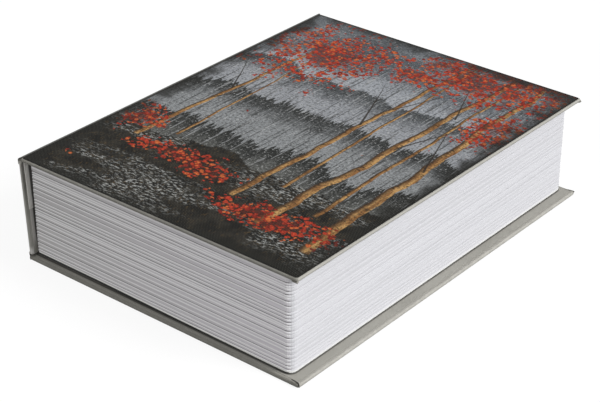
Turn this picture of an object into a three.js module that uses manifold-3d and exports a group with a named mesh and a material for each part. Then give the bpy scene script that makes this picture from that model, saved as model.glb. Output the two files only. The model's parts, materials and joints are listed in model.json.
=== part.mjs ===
// A book-shaped diversion safe: a cloth-bound case of two boards and a spine round a moulded
// block that looks like leaves, with a hinged steel cash box and its cam lock inside the block.
// Millimetres, +Z up. X runs from the spine (-X) to the fore edge (+X), Y from the tail (-Y) to
// the head (+Y). The origin is the centre of the back board's underside.
import * as THREE from "three";
import { mergeVertices } from "three/addons/utils/BufferGeometryUtils.js";
import Module from "manifold-3d";

const wasm = await Module();
wasm.setup();

// The closed book
const bookHeight = 265;
const bookWidth = 200;
const bookThickness = 65.5;
const frontSetback = 0.8; // the front board's fore edge lies this far behind the back board's
const spineLeanOut = 2.9; // the spine's upper edge stands this far outside its lower edge
const coverGap = 0.75; // the closed cover's lining above the block
const bodyGap = 0.3; // running gap between pieces that move past each other

// Case boards, each a card core wrapped in cloth paper, lined inside
const coreThickness = 1.95;
const frontCoreThickness = 1.55;
const spineCoreThickness = 1.85;
const wrapThickness = 0.2;
const liningThickness = 0.2;
const printThickness = 0.2;
const glueGap = 0.05;
const boardEdgeRadius = 0.9;
const jointEdgeRadius = 1.1; // the front board's rounder edge at the spine
const boardCornerRadius = 1.4;
const turnIn = 15; // width of cloth folded over onto the inner face
const liningInset = 2;
const printSpineInset = 2; // cloth left bare beside the printed sheet at the spine
const footGap = 0.5; // groove between the back board and the spine board's foot
const headGap = 0.45; // gap between the spine board's head and the front board
const clothRise = 1.2; // cloth standing past the spine board's head
const innerHingeThickness = 0.5;
const innerHingeLength = 29.6; // of the strip, down the spine's inner face
const innerHingeInset = 1.5;

// Moulded block of leaves
const blockEndInset = 3.3; // from the boards' head and tail edges
const blockForeInset = 7.5; // from the back board's fore edge
const blockSpineInset = 2.8; // from the back board's spine edge
const blockForeRadius = 4.5;
const blockSpineRadius = 2;
const blockTopRadius = 0.6;
const footStepHeight = 0.8; // the dark gap between the leaves and the back board
const footStepDepth = 1.2;
const footChamfer = 0.15;
const blockWall = 2.5;
const rimWidth = 9; // top rim round the lid's recess
const recessDepth = 8.2;
const recessRadius = 7;
const recessHingeRadius = 1; // the open lid stands close to these two corners
const grooveDepth = 0.8;
const grooveBevel = 1.05; // height of the rounded edge below each groove
const grooveBevelMiddle = 0.45;
const grooveRoof = 0.3; // height of the undercut above each groove
const ribThickness = 2;
const ribPitch = 44;
const bossRadius = 3;
const bossLength = 12;
const hingeGrooveDepth = 0.6;

// Steel box
const sheet = 1;
const boxDepth = 50;
const flangeWidth = 8;
const flangeGap = 0.6;
const boxCornerRadius = 5;
const boxSideGap = 0.6;

// Lid and its rolled hinge
const lidGap = 1.2; // round the lid, to the recess
const lidLipDrop = 1.6; // how far the lid's lip reaches below its plate
const lidCornerRadius = 5;
const pinRadius = 0.9;
const knuckleBore = 1;
const knuckleRadius = 2;
const knuckleCount = 7;
const hingeLength = 196;
const knuckleGap = 0.5;

// Cam lock
const lockInset = 25.8; // lock axis from the lid's fore edge
const lockHeadRadius = 9.5;
const lockHeadHeight = 2.5;
const lockHeadChamfer = 0.8;
const lockBodyRadius = 7;
const lockBodyLength = 12;
const lockBoreRadius = 4.8;
const lockHoleGap = 0.25;
const plugGap = 0.15;
const plugRecess = 0.4;
const plugStubRadius = 2.6;
const keywayWidth = 1.6;
const keywayLength = 6.4;
const keywayDepth = 7;
const washerRadius = 9.2;
const washerThickness = 0.8;
const nutAcrossFlats = 17;
const nutThickness = 3;
const camThickness = 2;
const camHalfWidth = 4.5;
const camTipGap = 0.6;
const camGap = 0.3;
const camScrewRadius = 3.2;
const camScrewHeight = 1.6;
const strikeLip = 6;
const strikeLength = 34;
const strikeClearance = 0.5; // between the turned cam and the strike's lip
const strikeTopGap = 0.4;

// Box screws
const screwHeadRadius = 2.3;
const screwHeadHeight = 1.4;
const screwCrownShare = 0.62; // radius of the head's flat crown, as a share of the head's
const screwRadius = 1.2;
const screwLength = 9;
const screwHoleGap = 0.3;
const screwEndInset = 4.2; // screw axis from the outer edge of the flange
const screwCornerInset = 11;
const screwRecessWidth = 0.6;
const screwRecessDepth = 0.6;
const screwRecessSpan = 2.6;

const cutOver = 1; // overrun that lets every cut pass its face
const arcSteps = 5;
const roundSegments = 24;
const smallSegments = 16;

// Height of each groove between leaves, as a share of the block's height, and how deep it is
const grooveShares = [
  0.05, 0.085, 0.117, 0.159, 0.199, 0.248, 0.285, 0.322, 0.371, 0.408, 0.443, 0.477, 0.502,
  0.532, 0.568, 0.603, 0.635, 0.694, 0.746, 0.783, 0.81, 0.842, 0.874, 0.899, 0.929,
];
const grooveDepthShares = [
  0.8, 0.75, 0.5, 0.95, 0.45, 0.45, 0.9, 0.45, 1, 0.4, 1, 0.4, 0.6, 1, 0.75, 0.7, 0.65, 0.75,
  0.95, 0.4, 0.8, 0.8, 0.4, 0.5, 1,
];
const grooveBevelShare = 0.35; // of the groove's depth, at the middle of the rounded edge

// Heights that follow from the stack of sheets
const boardStack = 2 * wrapThickness + 2 * glueGap + coreThickness;
const frontStack = 2 * wrapThickness + 2 * glueGap + frontCoreThickness;
const spineStack = 2 * wrapThickness + 2 * glueGap + spineCoreThickness;
const liningStack = glueGap + liningThickness;
const frontTop = bookThickness - printThickness - glueGap;
const frontUnder = frontTop - frontStack;
const blockBottom = boardStack + liningStack + glueGap;
const blockTop = frontUnder - liningStack - coverGap;
const ledgeTop = blockTop - recessDepth;
const flangeBottom = ledgeTop + glueGap;
const flangeTop = flangeBottom + sheet;
const pinZ = flangeBottom + knuckleRadius;
const lidTop = pinZ + knuckleRadius;
const lidUnder = lidTop - sheet;

// The spine leans out about the back board's lower spine edge
const spineEdgeX = -bookWidth / 2;
const spineLean = Math.atan2(spineLeanOut, bookThickness);

// Plans of the main pieces, seen from above
const backPlan = plan(spineEdgeX, bookWidth / 2, bookHeight / 2);
const frontPlan = plan(
  spineEdgeX - spineLeanOut + wrapThickness + bodyGap,
  bookWidth / 2 - frontSetback,
  bookHeight / 2,
);
const blockPlan = plan(
  spineEdgeX + blockSpineInset,
  bookWidth / 2 - blockForeInset,
  bookHeight / 2 - blockEndInset,
);
const recessPlan = grow(blockPlan, -rimWidth);
const flangePlan = grow(recessPlan, -flangeGap);
const boxPlan = grow(flangePlan, -flangeWidth);
const lidPlan = grow(recessPlan, -lidGap);
const pinX = recessPlan.x0 + knuckleRadius + lidGap;
const lockX = lidPlan.x1 - lockInset;
const camTop = lidTop - lockBodyLength - camGap;
const strikeBottom = camTop + strikeClearance;
const strikeWallX = boxPlan.x1 - sheet - glueGap;

const looks = {
  cloth: new THREE.MeshStandardMaterial({ color: 0x8e8f8a, roughness: 0.85, metalness: 0 }),
  core: new THREE.MeshStandardMaterial({ color: 0x9a958a, roughness: 0.95, metalness: 0 }),
  lining: new THREE.MeshStandardMaterial({ color: 0x9fa09a, roughness: 0.8, metalness: 0 }),
  print: new THREE.MeshStandardMaterial({ color: 0x35372f, roughness: 0.45, metalness: 0 }),
  leaves: new THREE.MeshStandardMaterial({ color: 0xe8e8ec, roughness: 0.4, metalness: 0 }),
  paint: new THREE.MeshStandardMaterial({ color: 0x26272a, roughness: 0.5, metalness: 0.3 }),
  steel: new THREE.MeshStandardMaterial({ color: 0x9a9ca0, roughness: 0.35, metalness: 0.9 }),
  chrome: new THREE.MeshStandardMaterial({ color: 0xc8cacc, roughness: 0.15, metalness: 1 }),
};

// A rectangle in plan, mirrored about the X axis
function plan(x0, x1, halfY) {
  return { x0, x1, halfY };
}

function grow(rectangle, by) {
  return plan(rectangle.x0 - by, rectangle.x1 + by, rectangle.halfY + by);
}

// Turns a three.js geometry into a solid that can be joined and cut
function solidOf(geometry) {
  const bare = geometry.clone();
  bare.deleteAttribute("normal");
  bare.deleteAttribute("uv");
  const merged = mergeVertices(bare);
  return new wasm.Manifold(
    new wasm.Mesh({
      numProp: 3,
      vertProperties: merged.attributes.position.array,
      triVerts: new Uint32Array(merged.index.array),
    }),
  );
}

function geometryOf(solid) {
  const mesh = solid.getMesh();
  const geometry = new THREE.BufferGeometry();
  geometry.setAttribute("position", new THREE.BufferAttribute(mesh.vertProperties, 3));
  geometry.setIndex(new THREE.BufferAttribute(mesh.triVerts, 1));
  const faceted = geometry.toNonIndexed();
  faceted.computeVertexNormals();
  return faceted;
}

function piece(name, solid, look) {
  const mesh = new THREE.Mesh(geometryOf(solid), look);
  mesh.name = name;
  return mesh;
}

function block(x0, x1, y0, y1, z0, z1) {
  const geometry = new THREE.BoxGeometry(x1 - x0, y1 - y0, z1 - z0);
  geometry.translate((x0 + x1) / 2, (y0 + y1) / 2, (z0 + z1) / 2);
  return solidOf(geometry);
}

function planBlock(rectangle, z0, z1) {
  return block(rectangle.x0, rectangle.x1, -rectangle.halfY, rectangle.halfY, z0, z1);
}

function upright(radius, z0, z1, segments = roundSegments) {
  const geometry = new THREE.CylinderGeometry(radius, radius, z1 - z0, segments);
  geometry.rotateX(Math.PI / 2);
  geometry.translate(0, 0, (z0 + z1) / 2);
  return solidOf(geometry);
}

// A solid of revolution about the vertical axis, from [radius, height] corners going upwards
function turned(corners, segments = roundSegments) {
  const profile = corners.map(([r, z]) => new THREE.Vector2(r, z));
  const geometry = new THREE.LatheGeometry(profile, segments);
  geometry.rotateX(Math.PI / 2);
  return solidOf(geometry);
}

// A section drawn in X and Z, drawn out along Y between y0 and y1
function drawnAlongY(shape, y0, y1, curveSegments = arcSteps) {
  const geometry = new THREE.ExtrudeGeometry(shape, {
    depth: y1 - y0,
    bevelEnabled: false,
    curveSegments,
  });
  geometry.rotateX(Math.PI / 2);
  geometry.translate(0, y1, 0);
  return solidOf(geometry);
}

// Corner points of a plan whose corners are rounded, anticlockwise from above
function roundedOutline({ x0, x1, halfY }, foreRadius, spineRadius) {
  const corners = [
    [x1 - foreRadius, -halfY + foreRadius, foreRadius, -Math.PI / 2],
    [x1 - foreRadius, halfY - foreRadius, foreRadius, 0],
    [x0 + spineRadius, halfY - spineRadius, spineRadius, Math.PI / 2],
    [x0 + spineRadius, -halfY + spineRadius, spineRadius, Math.PI],
  ];
  return corners.flatMap(([x, y, radius, start]) =>
    Array.from({ length: arcSteps + 1 }, (_, i) => {
      const angle = start + ((Math.PI / 2) * i) / arcSteps;
      return [x + radius * Math.cos(angle), y + radius * Math.sin(angle)];
    }),
  );
}

// Joins a stack of outlines, each { z, points }, into one closed solid
function loft(levels) {
  const stack = levels[0].z < levels.at(-1).z ? levels : levels.toReversed();
  const count = stack[0].points.length;
  const positions = stack.flatMap(({ z, points }) => points.flatMap(([x, y]) => [x, y, z]));
  const faces = [];
  for (let level = 0; level + 1 < stack.length; level += 1) {
    for (let i = 0; i < count; i += 1) {
      const a = level * count + i;
      const b = level * count + ((i + 1) % count);
      faces.push(a, b, b + count, a, b + count, a + count);
    }
  }
  const top = (stack.length - 1) * count;
  for (let i = 1; i + 1 < count; i += 1) {
    faces.push(0, i + 1, i);
    faces.push(top, top + i, top + i + 1);
  }
  const geometry = new THREE.BufferGeometry();
  geometry.setAttribute("position", new THREE.Float32BufferAttribute(positions, 3));
  geometry.setIndex(faces);
  return solidOf(geometry);
}

function prism(rectangle, foreRadius, spineRadius, z0, z1) {
  const points = roundedOutline(rectangle, foreRadius, spineRadius);
  return loft([
    { z: z0, points },
    { z: z1, points },
  ]);
}

// How far a face whose edge is rounded draws in, at a given depth from the edge
function roundInset(radius, depth) {
  const rise = Math.max(0, radius - depth);
  return radius - Math.sqrt(radius * radius - rise * rise);
}

// A board with rounded edges. `outer` is the Z of its outer face and `inward` the side, +1 or
// -1, on which its thickness lies.
function boardSolid(rectangle, outer, inward, thickness, edge, jointEdge) {
  const widest = Math.max(edge, jointEdge);
  const rounding = Array.from({ length: arcSteps + 1 }, (_, i) =>
    widest * (1 - Math.cos(((Math.PI / 2) * i) / arcSteps)),
  );
  const innerEdge = Math.min(edge, thickness / 2);
  const depths = rounding.filter((depth) => depth < thickness - innerEdge);
  depths.push(thickness - innerEdge, thickness - innerEdge / 4, thickness);
  const levels = depths.map((depth) => {
    const back = roundInset(innerEdge, thickness - depth);
    const draw = Math.max(roundInset(edge, depth), back);
    const jointDraw = Math.max(roundInset(jointEdge, depth), back);
    const drawn = plan(rectangle.x0 + jointDraw, rectangle.x1 - draw, rectangle.halfY - draw);
    return {
      z: outer + inward * depth,
      points: roundedOutline(drawn, boardCornerRadius, boardCornerRadius),
    };
  });
  return loft(levels);
}

// The three sheets of one board: card core, cloth wrap turned in round its edges, and lining
function boardPieces(name, rectangle, outer, inward, core, jointEdge) {
  const stack = 2 * wrapThickness + 2 * glueGap + core;
  const coreAt = outer + inward * (wrapThickness + glueGap);
  const pocketAt = outer + inward * wrapThickness;
  const under = outer + inward * stack;
  const coreDraw = wrapThickness + glueGap;
  const coreSolid = boardSolid(
    grow(rectangle, -coreDraw),
    coreAt,
    inward,
    core,
    boardEdgeRadius - coreDraw,
    jointEdge - coreDraw,
  );
  const pocket = boardSolid(
    grow(rectangle, -wrapThickness),
    pocketAt,
    inward,
    core + 2 * glueGap,
    boardEdgeRadius - wrapThickness,
    jointEdge - wrapThickness,
  );
  const window = planBlock(
    grow(rectangle, -turnIn),
    Math.min(pocketAt + inward * glueGap, under + inward * cutOver),
    Math.max(pocketAt + inward * glueGap, under + inward * cutOver),
  );
  const wrap = boardSolid(rectangle, outer, inward, stack, boardEdgeRadius, jointEdge)
    .subtract(pocket)
    .subtract(window);
  return {
    core: piece(`${name}_board`, coreSolid, looks.core),
    wrap,
    lining: piece(`${name}_lining`, liningSolid(rectangle, under, inward), looks.lining),
  };
}

// A sheet pasted over the turned-in cloth, sunk to the card inside it
function liningSolid(rectangle, under, inward) {
  const face = under + inward * liningStack;
  const seat = under + inward * glueGap;
  const sunk = under - inward * wrapThickness;
  const sheetSolid = prism(
    grow(rectangle, -liningInset),
    boardCornerRadius,
    boardCornerRadius,
    Math.min(face, seat),
    Math.max(face, seat),
  );
  const middle = planBlock(
    grow(rectangle, -turnIn - bodyGap),
    Math.min(face, sunk),
    Math.max(face, sunk),
  );
  return sheetSolid.add(middle);
}

function backCover() {
  const parts = boardPieces("back", backPlan, 0, 1, coreThickness, boardEdgeRadius);
  const group = new THREE.Group();
  group.add(parts.core, piece("back_wrap", parts.wrap, looks.cloth), parts.lining);
  return group;
}

function frontCover() {
  const parts = boardPieces(
    "front",
    frontPlan,
    frontTop,
    -1,
    frontCoreThickness,
    jointEdgeRadius,
  );
  const printPlan = plan(
    frontPlan.x0 + printSpineInset,
    frontPlan.x1 - boardEdgeRadius,
    frontPlan.halfY - boardEdgeRadius,
  );
  const print = prism(
    printPlan,
    boardCornerRadius,
    boardCornerRadius,
    frontTop + glueGap,
    bookThickness,
  );
  const group = new THREE.Group();
  group.add(parts.core, piece("front_wrap", parts.wrap, looks.cloth), parts.lining);
  group.add(piece("front_print", print, looks.print));
  return group;
}

// The spine is a board laid out flat, its length along X, and stood up against the back board
function spineCover() {
  const foot = boardStack + footGap;
  const head = (frontUnder - headGap) / Math.cos(spineLean);
  const spinePlan = plan(foot, head, bookHeight / 2);
  const parts = boardPieces("spine", spinePlan, 0, 1, spineCoreThickness, boardEdgeRadius);
  const cloth = block(
    head - turnIn,
    head + clothRise,
    -spinePlan.halfY + boardCornerRadius,
    spinePlan.halfY - boardCornerRadius,
    0,
    wrapThickness,
  );
  const hingeFace = spineStack + liningStack + glueGap;
  const innerHinge = block(
    head - liningStack - innerHingeLength,
    head - liningStack,
    -spinePlan.halfY + innerHingeInset,
    spinePlan.halfY - innerHingeInset,
    hingeFace,
    hingeFace + innerHingeThickness,
  );
  const group = new THREE.Group();
  group.add(parts.core, piece("spine_wrap", parts.wrap.add(cloth), looks.cloth), parts.lining);
  group.add(piece("inner_hinge", innerHinge, looks.lining));
  const up = new THREE.Vector3(-Math.sin(spineLean), 0, Math.cos(spineLean));
  const inward = new THREE.Vector3(Math.cos(spineLean), 0, Math.sin(spineLean));
  const across = new THREE.Vector3(0, -1, 0);
  const stand = new THREE.Matrix4().makeBasis(up, across, inward);
  group.applyMatrix4(stand.setPosition(spineEdgeX, 0, 0));
  return group;
}

// Outline of the block at one height: only the fore edge, head and tail carry leaves
function blockOutline(z, draw) {
  const drawn = plan(blockPlan.x0, blockPlan.x1 - draw, blockPlan.halfY - draw);
  return { z, points: roundedOutline(drawn, blockForeRadius - draw, blockSpineRadius) };
}

// The block's outside: grooves between leaves run level round the three open edges
function leafBlock() {
  const height = blockTop - blockBottom;
  const footTop = blockBottom + footStepHeight;
  const levels = [
    blockOutline(blockBottom, footStepDepth),
    blockOutline(footTop, footStepDepth),
    blockOutline(footTop + footChamfer / 2, footChamfer),
    blockOutline(footTop + footChamfer, 0),
  ];
  grooveShares.forEach((share, i) => {
    const z = blockBottom + share * height;
    const depth = grooveDepth * grooveDepthShares[i];
    levels.push(blockOutline(z - grooveBevel, 0));
    levels.push(blockOutline(z - grooveBevelMiddle, depth * grooveBevelShare));
    levels.push(blockOutline(z, depth));
    levels.push(blockOutline(z + grooveRoof, 0));
  });
  levels.push(blockOutline(blockTop - blockTopRadius, 0));
  levels.push(blockOutline(blockTop, blockTopRadius));
  return loft(levels);
}

// Upright ribs that stiffen the hollow between the outer wall and the box
function stiffeners(inside, ledgeUnder) {
  const well = grow(boxPlan, boxSideGap);
  const ribs = [];
  const acrossCount = Math.max(1, Math.round((2 * well.halfY) / ribPitch) - 1);
  for (let i = 0; i < acrossCount; i += 1) {
    const y = -well.halfY + (2 * well.halfY * (i + 1)) / (acrossCount + 1);
    const y0 = y - ribThickness / 2;
    const y1 = y + ribThickness / 2;
    ribs.push(block(well.x1, inside.x1 + glueGap, y0, y1, blockBottom + blockWall, ledgeUnder));
    ribs.push(block(inside.x0 - glueGap, well.x0, y0, y1, blockBottom + blockWall, ledgeUnder));
  }
  const alongCount = Math.max(1, Math.round((well.x1 - well.x0) / ribPitch) - 1);
  for (let i = 0; i < alongCount; i += 1) {
    const x = well.x0 + ((well.x1 - well.x0) * (i + 1)) / (alongCount + 1);
    const x0 = x - ribThickness / 2;
    const x1 = x + ribThickness / 2;
    const outer = inside.halfY + glueGap;
    ribs.push(block(x0, x1, well.halfY, outer, blockBottom + blockWall, ledgeUnder));
    ribs.push(block(x0, x1, -outer, -well.halfY, blockBottom + blockWall, ledgeUnder));
  }
  return ribs;
}

function screwPlaces() {
  const y = flangePlan.halfY - screwEndInset;
  const xs = [boxPlan.x0 + screwCornerInset, boxPlan.x1 - screwCornerInset];
  return xs.flatMap((x) => [
    [x, -y],
    [x, y],
  ]);
}

function moved(solid, x, y, z = 0) {
  return solid.translate([x, y, z]);
}

// The moulded block: ribbed outer wall, rim, recess for the lid, ledge for the box's flange,
// four screw bosses and stiffening ribs, open underneath
function pagesShell() {
  const ledgeUnder = ledgeTop - blockWall;
  const inside = grow(blockPlan, -blockWall);
  const insideRadius = blockForeRadius - blockWall;
  const web = grow(recessPlan, blockWall);
  const webRadius = recessRadius + blockWall;
  const webHingeRadius = recessHingeRadius + blockWall;
  const rimUnder = blockTop - blockWall;
  const hollow = prism(inside, insideRadius, insideRadius, blockBottom - cutOver, ledgeUnder);
  const rimHollow = prism(inside, insideRadius, insideRadius, ledgeUnder - glueGap, rimUnder)
    .subtract(prism(web, webRadius, webHingeRadius, ledgeUnder - cutOver, rimUnder + cutOver));
  const recess = prism(recessPlan, recessRadius, recessHingeRadius, ledgeTop, blockTop + cutOver);
  const well = prism(
    grow(boxPlan, boxSideGap),
    boxCornerRadius + boxSideGap,
    boxCornerRadius + boxSideGap,
    blockBottom - cutOver,
    blockTop + cutOver,
  );
  const hingeGroove = block(
    recessPlan.x0 + bodyGap,
    pinX + knuckleRadius + bodyGap,
    -hingeLength / 2 - cutOver,
    hingeLength / 2 + cutOver,
    ledgeTop - hingeGrooveDepth,
    ledgeTop + cutOver,
  );
  let shell = leafBlock().subtract(hollow).subtract(rimHollow).subtract(recess);
  for (const rib of stiffeners(inside, ledgeUnder + glueGap)) shell = shell.add(rib);
  for (const [x, y] of screwPlaces()) {
    const boss = upright(bossRadius, ledgeUnder - bossLength, ledgeUnder + glueGap, smallSegments);
    shell = shell.add(moved(boss, x, y));
  }
  shell = shell.subtract(well).subtract(hingeGroove);
  const pilotRadius = screwRadius + screwHoleGap / 2;
  const pilotBottom = flangeBottom - screwLength - cutOver;
  for (const [x, y] of screwPlaces()) {
    const pilot = upright(pilotRadius, pilotBottom, ledgeTop + cutOver, smallSegments);
    shell = shell.subtract(moved(pilot, x, y));
  }
  return piece("pages_shell", shell, looks.leaves);
}

// Even stretches of the hinge: the box has the outer ones, the lid the ones between
function knuckleSpans(parity) {
  const pitch = hingeLength / knuckleCount;
  const spans = [];
  for (let i = parity; i < knuckleCount; i += 2) {
    const y0 = -hingeLength / 2 + i * pitch;
    spans.push([y0 + knuckleGap / 2, y0 + pitch - knuckleGap / 2]);
  }
  return spans;
}

// One rolled knuckle round the pin
function knuckle([y0, y1]) {
  const ring = new THREE.Shape();
  ring.absarc(pinX, pinZ, knuckleRadius, 0, 2 * Math.PI);
  const bore = new THREE.Path();
  bore.absarc(pinX, pinZ, knuckleBore, 0, 2 * Math.PI);
  ring.holes.push(bore);
  return drawnAlongY(ring, y0, y1, smallSegments / 2);
}

// Room round the other leaf's knuckles
function knuckleNotch([y0, y1], z0, z1) {
  const reach = knuckleRadius + bodyGap;
  return block(pinX - reach, pinX + reach, y0 - knuckleGap, y1 + knuckleGap, z0, z1);
}

// Pin bore, kept open through whatever joins a knuckle
function pinBore() {
  const circle = new THREE.Shape();
  circle.absarc(pinX, pinZ, knuckleBore, 0, 2 * Math.PI);
  return drawnAlongY(circle, -hingeLength, hingeLength, smallSegments / 2);
}

function steelBox() {
  const floor = flangeTop - boxDepth - sheet;
  const innerRadius = boxCornerRadius - sheet;
  const flangeEdge = plan(pinX, flangePlan.x1, flangePlan.halfY);
  const flange = prism(flangeEdge, recessRadius, recessRadius, flangeBottom, flangeTop);
  const tray = prism(boxPlan, boxCornerRadius, boxCornerRadius, floor, flangeTop);
  const inside = prism(grow(boxPlan, -sheet), innerRadius, innerRadius, floor + sheet, lidTop);
  let solid = tray.add(flange).subtract(inside);
  for (const span of knuckleSpans(1)) {
    solid = solid.subtract(knuckleNotch(span, flangeBottom - cutOver, flangeTop + cutOver));
  }
  for (const span of knuckleSpans(0)) solid = solid.add(knuckle(span));
  solid = solid.subtract(pinBore());
  for (const [x, y] of screwPlaces()) {
    const hole = upright(
      screwRadius + screwHoleGap,
      flangeBottom - cutOver,
      flangeTop + cutOver,
      smallSegments,
    );
    solid = solid.subtract(moved(hole, x, y));
  }
  return piece("steel_box", solid, looks.paint);
}

function hingePin() {
  const pin = new THREE.CylinderGeometry(pinRadius, pinRadius, hingeLength, smallSegments);
  pin.translate(pinX, 0, pinZ);
  return piece("hinge_pin", solidOf(pin), looks.steel);
}

// Pan-head screw with a cross recess, its head on the flange
function boxScrew(name, x, y) {
  const headTop = screwHeadHeight;
  const head = turned(
    [
      [0, -screwLength],
      [screwRadius / 2, -screwLength],
      [screwRadius, -screwLength + screwRadius],
      [screwRadius, 0],
      [screwHeadRadius, 0],
      [screwHeadRadius, headTop / 2],
      [screwHeadRadius * screwCrownShare, headTop],
      [0, headTop],
    ],
    smallSegments,
  );
  const floor = headTop - screwRecessDepth;
  const span = screwRecessSpan / 2;
  const width = screwRecessWidth / 2;
  const cross = block(-span, span, -width, width, floor, headTop + cutOver).add(
    block(-width, width, -span, span, floor, headTop + cutOver),
  );
  const mesh = piece(name, head.subtract(cross), looks.steel);
  mesh.position.set(x, y, flangeTop + glueGap);
  return mesh;
}

// Angle bracket spot-welded inside the box's fore wall: the turned cam bears on its lip
function lockStrike() {
  const top = flangeBottom - strikeTopGap;
  const half = strikeLength / 2;
  const leaf = block(strikeWallX - sheet, strikeWallX, -half, half, strikeBottom, top);
  const lip = block(
    strikeWallX - sheet - strikeLip,
    strikeWallX,
    -half,
    half,
    strikeBottom,
    strikeBottom + sheet,
  );
  return piece("lock_strike", leaf.add(lip), looks.steel);
}

function boxLid() {
  const bottom = lidUnder - lidLipDrop;
  const outerPlan = plan(pinX, lidPlan.x1, lidPlan.halfY);
  const innerPlan = plan(pinX - cutOver, lidPlan.x1 - sheet, lidPlan.halfY - sheet);
  const outer = prism(outerPlan, lidCornerRadius, lidCornerRadius, bottom, lidTop);
  const inside = prism(innerPlan, lidCornerRadius - sheet, sheet, bottom - cutOver, lidUnder);
  let solid = outer.subtract(inside);
  for (const span of knuckleSpans(0)) {
    solid = solid.subtract(knuckleNotch(span, bottom - cutOver, lidTop + cutOver));
  }
  for (const span of knuckleSpans(1)) solid = solid.add(knuckle(span));
  const lockHole = upright(lockBodyRadius + lockHoleGap, lidUnder - cutOver, lidTop + cutOver);
  solid = solid.subtract(pinBore()).subtract(moved(lockHole, lockX, 0));
  return piece("box_lid", solid, looks.paint);
}

// The lock stands on its own axis, with heights measured from the lid's top face
function lockCylinder() {
  const body = turned([
    [0, -lockBodyLength],
    [lockBodyRadius, -lockBodyLength],
    [lockBodyRadius, glueGap],
    [lockHeadRadius, glueGap],
    [lockHeadRadius, lockHeadHeight - lockHeadChamfer],
    [lockHeadRadius - lockHeadChamfer, lockHeadHeight],
    [0, lockHeadHeight],
  ]);
  const bore = upright(lockBoreRadius, -lockBodyLength - cutOver, lockHeadHeight + cutOver);
  return piece("lock_cylinder", body.subtract(bore), looks.chrome);
}

function lockWasher() {
  const top = -sheet - glueGap;
  const disc = upright(washerRadius, top - washerThickness, top);
  const bore = upright(
    lockBodyRadius + lockHoleGap,
    top - washerThickness - cutOver,
    top + cutOver,
  );
  return piece("lock_washer", disc.subtract(bore), looks.steel);
}

function lockNut() {
  const top = -sheet - 2 * glueGap - washerThickness;
  const bottom = top - nutThickness;
  const hexagon = upright(nutAcrossFlats / Math.sqrt(3), bottom, top, 6);
  const bore = upright(lockBodyRadius + lockHoleGap, bottom - cutOver, top + cutOver);
  return piece("lock_nut", hexagon.subtract(bore), looks.steel);
}

// The turning plug: keyway in its face, and a stub below that carries the cam
function lockPlug() {
  const radius = lockBoreRadius - plugGap;
  const top = lockHeadHeight - plugRecess;
  const shoulder = -lockBodyLength;
  const foot = shoulder - camGap - camThickness;
  const plug = turned([
    [0, foot],
    [plugStubRadius, foot],
    [plugStubRadius, shoulder],
    [radius, shoulder],
    [radius, top],
    [0, top],
  ]);
  const keyway = block(
    -keywayLength / 2,
    keywayLength / 2,
    -keywayWidth / 2,
    keywayWidth / 2,
    top - keywayDepth,
    top + cutOver,
  );
  return piece("lock_plug", plug.subtract(keyway), looks.chrome);
}

// Flat tongue with a round end, lying along the fore wall while the lock is open
function lockCam() {
  const reach = strikeWallX - sheet - camTipGap - lockX;
  const outline = new THREE.Shape();
  outline.absarc(0, 0, camHalfWidth, Math.PI, 2 * Math.PI);
  outline.lineTo(camHalfWidth, reach - camHalfWidth / 2);
  outline.lineTo(camHalfWidth / 2, reach);
  outline.lineTo(-camHalfWidth / 2, reach);
  outline.lineTo(-camHalfWidth, reach - camHalfWidth / 2);
  const bore = new THREE.Path();
  bore.absarc(0, 0, plugStubRadius + plugGap, 0, 2 * Math.PI);
  outline.holes.push(bore);
  const geometry = new THREE.ExtrudeGeometry(outline, {
    depth: camThickness,
    bevelEnabled: false,
    curveSegments: smallSegments / 2,
  });
  geometry.translate(0, 0, -lockBodyLength - camGap - camThickness);
  return piece("lock_cam", solidOf(geometry), looks.steel);
}

function camScrew() {
  const top = -lockBodyLength - camGap - camThickness - glueGap;
  const head = turned(
    [
      [0, top - camScrewHeight],
      [camScrewRadius - camScrewHeight / 2, top - camScrewHeight],
      [camScrewRadius, top - camScrewHeight / 2],
      [camScrewRadius, top],
      [0, top],
    ],
    smallSegments,
  );
  return piece("cam_screw", head, looks.steel);
}

function camLock() {
  const group = new THREE.Group();
  group.add(lockCylinder(), lockWasher(), lockNut(), lockPlug(), lockCam(), camScrew());
  group.position.set(lockX, 0, lidTop);
  return group;
}

const book = new THREE.Group();
book.name = "book_diversion_safe";
book.add(backCover(), spineCover(), frontCover());
book.add(pagesShell(), steelBox(), hingePin(), lockStrike(), boxLid(), camLock());
screwPlaces().forEach(([x, y], i) => book.add(boxScrew(`box_screw_${i + 1}`, x, y)));

export default book;
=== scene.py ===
"""A book diversion safe: cloth-wrapped boards round a moulded block of leaves, with a steel box inside.

Metres, +Z up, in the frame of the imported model.
X runs from the spine to the fore edge, Y from tail to head.
"""

import json
import math

import bpy
from mathutils import Matrix, Vector


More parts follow.
